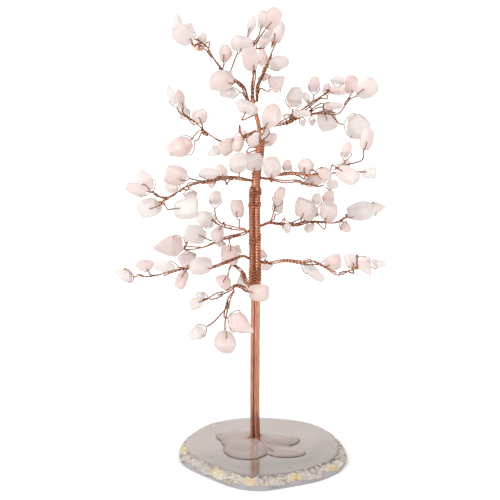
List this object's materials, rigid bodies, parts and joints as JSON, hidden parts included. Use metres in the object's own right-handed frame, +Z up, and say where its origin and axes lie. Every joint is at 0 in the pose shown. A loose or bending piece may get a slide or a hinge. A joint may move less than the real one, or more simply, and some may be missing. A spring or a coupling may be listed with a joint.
{
  "type": "gemstone tree ornament",
  "caption": "Small table-top tree of tumbled rose quartz chips wired with twisted copper to a bound copper trunk, standing in clear resin on a polished agate slice.",
  "frame": {"origin": "on the underside of the agate slice, straight below the foot of the trunk", "axes": "+Z up along the trunk, +X to the viewer's right, +Y away from the viewer"},
  "size_m": [0.1652, 0.1135, 0.2721],
  "materials": {
    "rose_quartz": "tumbled and polished, milky",
    "polished_agate": "polished face with a rough rind",
    "clear_resin": "clear and glossy",
    "copper_wire": "bare copper, slightly darkened",
    "binding_wire": "dark copper"
  },
  "bodies": {
    "tree": {"agate_slice": "polished_agate", "resin_mound": "clear_resin", "root_wires": "copper_wire", "trunk_strand_left": "copper_wire", "trunk_strand_right": "copper_wire", "trunk_strand_rear": "copper_wire", "wrapped_bundle_left": "copper_wire", "wrapped_bundle_right": "copper_wire", "wrapped_stem": "copper_wire", "leader": "copper_wire", "knot_binding": "binding_wire", "middle_binding": "binding_wire", "upper_binding": "binding_wire", "collar_binding": "binding_wire", "heart_chips": "rose_quartz", "heart_twigs": "copper_wire"},
    "top_left": {"top_left_limb": "copper_wire", "top_left_chips": "rose_quartz", "top_left_twigs": "copper_wire"},
    "top_centre": {"top_centre_limb": "copper_wire", "top_centre_chips": "rose_quartz", "top_centre_twigs": "copper_wire"},
    "top_right": {"top_right_limb": "copper_wire", "top_right_chips": "rose_quartz", "top_right_twigs": "copper_wire"},
    "upper_left": {"upper_left_limb": "copper_wire", "upper_left_chips": "rose_quartz", "upper_left_twigs": "copper_wire"},
    "upper_right": {"upper_right_limb": "copper_wire", "upper_right_chips": "rose_quartz", "upper_right_twigs": "copper_wire"},
    "mid_right": {"mid_right_limb": "copper_wire", "mid_right_chips": "rose_quartz", "mid_right_twigs": "copper_wire"},
    "mid_left": {"mid_left_limb": "copper_wire", "mid_left_chips": "rose_quartz", "mid_left_twigs": "copper_wire"},
    "centre_left": {"centre_left_limb": "copper_wire", "centre_left_chips": "rose_quartz", "centre_left_twigs": "copper_wire"},
    "centre_right": {"centre_right_limb": "copper_wire", "centre_right_chips": "rose_quartz", "centre_right_twigs": "copper_wire"},
    "low_left": {"low_left_limb": "copper_wire", "low_left_chips": "rose_quartz", "low_left_twigs": "copper_wire"},
    "low_inner": {"low_inner_limb": "copper_wire", "low_inner_chips": "rose_quartz", "low_inner_twigs": "copper_wire"},
    "hanging": {"hanging_limb": "copper_wire", "hanging_chips": "rose_quartz", "hanging_twigs": "copper_wire"},
    "low_right": {"low_right_limb": "copper_wire", "low_right_chips": "rose_quartz", "low_right_twigs": "copper_wire"}
  },
  "joints": [
    {"name": "top_left_bend", "type": "hinge", "parent": "tree", "child": "top_left", "pos_m": [-0.00372, 0, 0.21741], "axis": [0, 1, 0], "range_deg": [-5, 5]},
    {"name": "top_centre_bend", "type": "hinge", "parent": "tree", "child": "top_centre", "pos_m": [-0.00118, -0.00249, 0.2186], "axis": [0, 1, 0], "range_deg": [-5, 5]},
    {"name": "top_right_bend", "type": "hinge", "parent": "tree", "child": "top_right", "pos_m": [0.00128, 0, 0.21741], "axis": [0, 1, 0], "range_deg": [-5, 5]},
    {"name": "upper_left_bend", "type": "hinge", "parent": "tree", "child": "upper_left", "pos_m": [-0.00021, 0, 0.19959], "axis": [0, 1, 0], "range_deg": [-5, 5]},
    {"name": "upper_right_bend", "type": "hinge", "parent": "tree", "child": "upper_right", "pos_m": [0.00471, 0, 0.20078], "axis": [0, 1, 0], "range_deg": [-5, 5]},
    {"name": "mid_right_bend", "type": "hinge", "parent": "tree", "child": "mid_right", "pos_m": [0.00462, 0, 0.17132], "axis": [0, 1, 0], "range_deg": [-5, 5]},
    {"name": "mid_left_bend", "type": "hinge", "parent": "tree", "child": "mid_left", "pos_m": [-0.00319, 0, 0.17011], "axis": [0, 1, 0], "range_deg": [-5, 5]},
    {"name": "centre_left_bend", "type": "hinge", "parent": "tree", "child": "centre_left", "pos_m": [-0.00409, 0, 0.13894], "axis": [0, 1, 0], "range_deg": [-5, 5]},
    {"name": "centre_right_bend", "type": "hinge", "parent": "tree", "child": "centre_right", "pos_m": [0.00381, 0, 0.14202], "axis": [0, 1, 0], "range_deg": [-5, 5]},
    {"name": "low_left_bend", "type": "hinge", "parent": "tree", "child": "low_left", "pos_m": [-0.00397, 0, 0.12223], "axis": [0, 1, 0], "range_deg": [-5, 5]},
    {"name": "low_inner_bend", "type": "hinge", "parent": "tree", "child": "low_inner", "pos_m": [-0.00288, 0.00134, 0.10288], "axis": [0, 1, 0], "range_deg": [-5, 5]},
    {"name": "hanging_bend", "type": "hinge", "parent": "tree", "child": "hanging", "pos_m": [-0.00406, -0.00148, 0.10163], "axis": [0, 1, 0], "range_deg": [-5, 5]},
    {"name": "low_right_bend", "type": "hinge", "parent": "tree", "child": "low_right", "pos_m": [0.00397, 0, 0.11975], "axis": [0, 1, 0], "range_deg": [-5, 5]}
  ]
}
